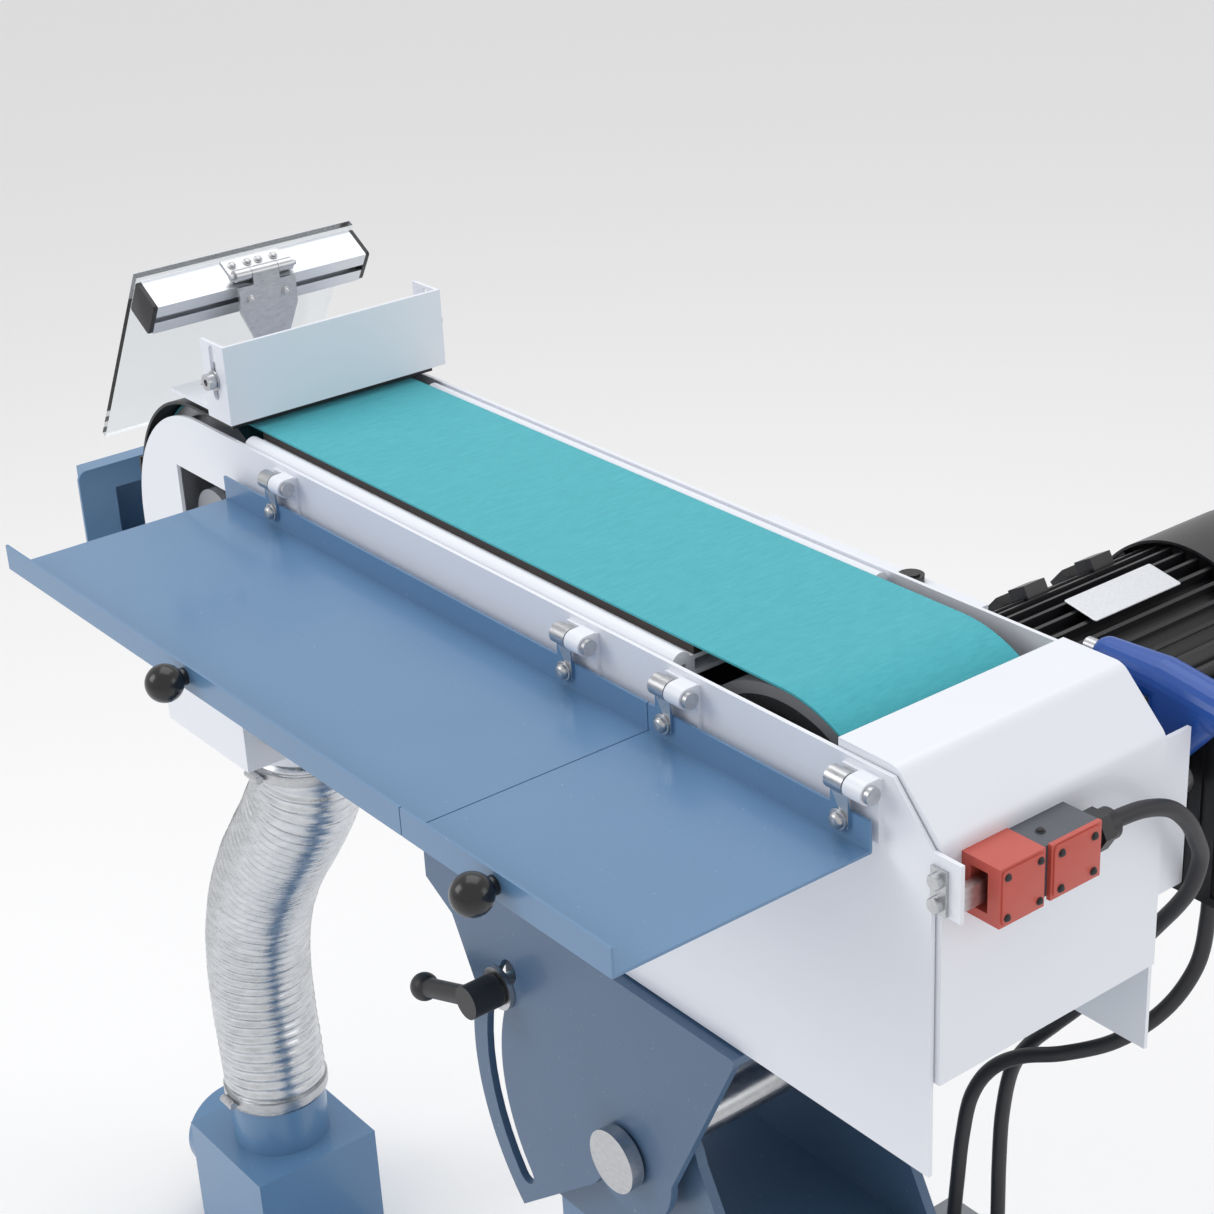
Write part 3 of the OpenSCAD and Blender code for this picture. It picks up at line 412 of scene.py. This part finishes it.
parts = ([], [])
sweptTube(parts, hoseLine, hoseRadius, 64)
hosePiece = meshPiece("ribbedHose", *parts, foil, None, smooth=True, slot="aluminium")
for face in hosePiece.data.polygons:
    face.use_smooth = True
hosePiece.modifiers.clear()
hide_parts("dust_hose")
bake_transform(hosePiece)
for name, place, body in (("upperHoseBand", Vector((-0.590, 0, 0.634)), "head"),
                          ("lowerHoseBand", Vector((-0.735, 0, 0.200)), "stand")):
    parts = ([], [])
    barrel = place + Vector((0, -0.0565, 0))  # the clamp screw's housing, outside the band
    turned(parts, [(51.5, -5), (52.6, -5), (52.9, -4), (52.9, 4), (52.6, 5), (51.5, 5)], place, (0, 0, 1), 64)
    turned(parts, [(3.4, -9), (4.2, -8), (4.2, 8), (3.4, 9)], barrel, (1, 0, 0), 20)
    turned(parts, [(4.4, 9), (4.4, 12.4), (3.8, 13)], barrel, (1, 0, 0), 24, 6)
    meshPiece(name, *parts, zincSteel, body, smooth=True, slot="zinc_steel")
print("hose made")

# ---- Cables ----
cables = {"radiusMm": 5.4, "motor": ("motor_cable", [(257, 188, 808), (257, 188, 782), (254, 184, 745),
    (243, 168, 712), (222, 146, 686), (192, 128, 668), (160, 120, 652), (134, 118, 628), (116, 118, 595),
    (108, 118, 555), (104, 118, 515), (101, 118, 480), (100, 118, 461.3)]),
    "interlock": ("interlock_cable", [(307, 19, 940), (307, 32, 940), (308, 54, 938), (309, 76, 930),
    (308, 94, 914), (304, 109, 894), (299, 121, 874), (292, 124, 850), (281, 126, 830), (266, 127, 808),
    (248, 128, 782), (226, 130, 748), (202, 132, 712), (176, 135, 680), (152, 138, 650), (134, 140, 618),
    (126, 140, 575), (124, 140, 530), (124, 140, 490), (124, 140, 461.3)])}
for key in ("motor", "interlock"):
    node, route = cables[key]
    line = evenly(smoothRoute([Vector(p) / 1000 for p in route], 8), 0.004)
    parts = ([], [])
    sweptTube(parts, line, lambda s, t: cables["radiusMm"] / 1000, 20)
    cable = meshPiece(key + "CableSheath", *parts, cableRubber, None, smooth=True, slot="cable_rubber")
    cable.modifiers.clear()
    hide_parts(node)
    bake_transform(cable)
print("cables made")

# ---- Screws on trays, hinges and covers ----
hingeX = [-532, -165, -65, 92]
for body, name, places in (("tray_left", "leftTrayScrews", hingeX[:2]),
                           ("tray_right", "rightTrayScrews", hingeX[2:])):
    parts = ([], [])
    for x in places:
        screwHead(parts, mm(x - 8, -109, -40), (0, -1, 0), 1.15)
    meshPiece(name, *parts, zincSteel, body, smooth=True, slot="zinc_steel")
parts = ([], [])
for x in hingeX:
    screwHead(parts, mm(x - 7, -100, -43), (0, -1, 0), 0.5)
meshPiece("hingeLeafScrews", *parts, zincSteel, "door", smooth=True, slot="zinc_steel")
parts = ([], [])
for z in (-53, -68):  # socket-head screws through the door tab
    turned(parts, [(2.4, -9.4), (2.4, 0.02), (4.9, 0.02), (4.9, 0.5), (4.9, 3.8), (4.4, 4.4), (2.6, 4.4)],
        mm(153, -99.5, z), (0, -1, 0), 32)
    turned(parts, [(2.6, 4.42), (2.55, 2.4), (0.1, 2.2)], mm(153, -99.5, z), (0, -1, 0), 24, 6)
socketScrews = meshPiece("doorSocketScrews", *parts, zincSteel, "door", smooth=True, slot="zinc_steel")
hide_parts("door_bolts")
print("screws made")

# ---- Eye shield trim ----
tilt = math.radians(32)  # how far the eye shield leans from upright
shieldAt = mm(-688.5, 0, 96.3)
shieldX = Vector((math.cos(tilt), 0, -math.sin(tilt)))
shieldZ = Vector((math.sin(tilt), 0, math.cos(tilt)))


def onShield(x, y, z):
    return shieldAt + (shieldX * x + shieldZ * z) / 1000 + Vector((0, y / 1000, 0))


parts = ([], [])
roundedPlate(parts, onShield(-9, -108, -21), (0, -1, 0), shieldX, 30, 30, 4, 2.5)
roundedPlate(parts, onShield(-9, 84, -21), (0, 1, 0), shieldX, 30, 30, 4, 2.5)
meshPiece("profileCaps", *parts, gripBlack, "shield", smooth=True, slot="black_plastic")
parts = ([], [])
for y in (-31, -17, -7, 7):
    screwHead(parts, onShield(-15, y, -4.4), shieldZ, 0.62)
meshPiece("hingeLeafBolts", *parts, zincSteel, "shield", smooth=True, slot="zinc_steel")
parts = ([], [])
for y in (-28, 4):  # through the hinge leaf
    screwHead(parts, mm(-683, y, 76), (1, 0, 0), 0.7)
for y in (-22, -2):
    screwHead(parts, mm(-698, y, 15), (0, 0, 1), 0.7)
meshPiece("bracketBolts", *parts, zincSteel, "head", smooth=True, slot="zinc_steel")
print("shield trim made")

# ---- Interlock switch ----
parts = ([], [])
roundedPlate(parts, mm(180, -17.5, -62), (1, 0, 0), (0, 1, 0), 38, 33, 1.2, 3)
meshPiece("switchLid", *parts, switchRed, "head", smooth=True, slot="switch_red")
parts = ([], [])
roundedPlate(parts, mm(179, -60, -63), (1, 0, 0), (0, 1, 0), 33, 34, 1.2, 2)
meshPiece("switchHeadLid", *parts, switchRed, "head", smooth=True, slot="switch_red")
parts = ([], [])
for y, z in ((-31, -51), (-31, -74), (-4, -51), (-4, -74)):
    screwHead(parts, mm(181.2, y, z), (1, 0, 0), 0.45)
for y, z in ((-73, -50), (-73, -76), (-47, -50), (-47, -76)):
    screwHead(parts, mm(180.2, y, z), (1, 0, 0), 0.42)
screwHead(parts, mm(164, -30, -45), (0, 0, 1), 0.5)
meshPiece("switchScrews", *parts, gripBlack, "head", smooth=True, slot="black_plastic")
print("switch made")

# ---- Motor plate and chute latch ----
parts = ([], [])
roundedPlate(parts, mm(16, 209, -24.2), (0.2, 0, 1), (0, 1, 0), 84, 28, 0.8, 1.5, 0.3)
meshPiece("ratingPlate", *parts, plateMetal, "head", slot="aluminium")
parts = ([], [])
for y in (165, 217):
    for z in (-178, -74):
        screwHead(parts, mm(150, y, z), (1, 0, 0), 0.7)
meshPiece("terminalBoxScrews", *parts, zincSteel, "head", smooth=True, slot="zinc_steel")
latch = {"place": (-657, -58, -288), "width": 34}
parts = ([], [])
roundedPlate(parts, mm(*latch["place"]), (1, 0, 0), (0, 1, 0), latch["width"], 24, 9, 3, 1.5)
roundedPlate(parts, mm(-648, -58, -288), (1, 0, 0), (0, 1, 0), 16, 16, 18, 3, 1.5)
roundedPlate(parts, mm(-632, -58, -284), (1, 0, 0), (0, 1, 0), 44, 12, 7, 3, 2)
meshPiece("chuteLatch", *parts, gripBlack, "head", smooth=True, slot="black_plastic")
print("motor plate and latch made")

# ---- Starter box lid ----
parts = ([], [])
roundedPlate(parts, Vector((0.160, 0.119, 0.390)), (1, 0, 0), (0, 1, 0), 70, 112, 1.6, 5)
meshPiece("starterLid", *parts, greyPaint, "stand", smooth=True, slot="grey_paint")
parts = ([], [])
for y in (0.089, 0.149):
    for z in (0.340, 0.440):
        screwHead(parts, Vector((0.1616, y, z)), (1, 0, 0), 0.6)
meshPiece("starterLidScrews", *parts, zincSteel, "stand", smooth=True, slot="zinc_steel")
print("starter box made")

# ---- Room, light and camera ----
room = {"floor": "#FBFBFC", "air": "#FFFFFF", "airStrength": 0.74}
floorMesh = bpy.data.meshes.new("studioFloor")
floorMesh.from_pydata([(-30, -30, 0), (30, -30, 0), (30, 30, 0), (-30, 30, 0)], [], [(0, 1, 2, 3)])
floor = bpy.data.objects.new("studioFloor", floorMesh)
bpy.context.collection.objects.link(floor)
floorPaint, floorTree, floorShader, floorPlace = newMaterial("paleStudioFloor", {"Roughness": 0.9})
tint = addNode(floorTree, "ShaderNodeTexNoise", {"Scale": 0.5}, {"Vector": floorPlace})
tintMix = addNode(floorTree, "ShaderNodeMix", {"data_type": "RGBA", 6: hexToLinear(room["floor"]),
    7: hexToLinear("#FAFAFB")}, {0: tint.outputs["Fac"]})
floorTree.links.new(tintMix.outputs[2], floorShader.inputs["Base Color"])
floorMesh.materials.append(floorPaint)
world = bpy.data.worlds.new("studioAir")
bpy.context.scene.world = world
world.use_nodes = True
world.node_tree.nodes["Background"].inputs["Color"].default_value = hexToLinear(room["air"])
world.node_tree.nodes["Background"].inputs["Strength"].default_value = room["airStrength"]
lamps = {"overheadSoftbox": ((-0.6, 0.6, 3.4), (0.0, 0.0, 0.9), 2.4, 27.0),
    "keySoftbox": ((-1.6, -2.6, 2.6), (-0.1, 0.0, 0.9), 1.6, 24.0),
    "rearSoftbox": ((2.4, 1.6, 2.0), (0.1, 0.0, 0.9), 1.4, 8.0)}
for name, (place, aim, size, watts) in lamps.items():
    lamp = bpy.data.lights.new(name, "AREA")
    lamp.size, lamp.energy = size, watts
    holder = bpy.data.objects.new(name, lamp)
    holder.location = place
    holder.rotation_euler = (Vector(aim) - Vector(place)).to_track_quat("-Z", "Y").to_euler()
    bpy.context.collection.objects.link(holder)

view = {"azimuth": 53.23, "elevation": 25.09, "roll": -3.06, "place": (1.08121, -0.90483, 1.64444),
    "lens": 70.48}
a, e, r = (math.radians(view[k]) for k in ("azimuth", "elevation", "roll"))
back = Vector((math.sin(a) * math.cos(e), -math.cos(a) * math.cos(e), math.sin(e)))
level = Vector((math.cos(a), math.sin(a), 0))
rise = back.cross(level)
right = level * math.cos(r) + rise * math.sin(r)
up = rise * math.cos(r) - level * math.sin(r)
lens = bpy.data.cameras.new("studioCamera")
lens.lens, lens.sensor_width, lens.clip_end = view["lens"], 36.0, 100.0
camera = bpy.data.objects.new("studioCamera", lens)
camera.matrix_world = Matrix((right, up, back)).transposed().to_4x4()
camera.location = view["place"]
bpy.context.collection.objects.link(camera)
bpy.context.scene.camera = camera
bpy.context.scene.view_settings.view_transform = "Standard"
print("room made")
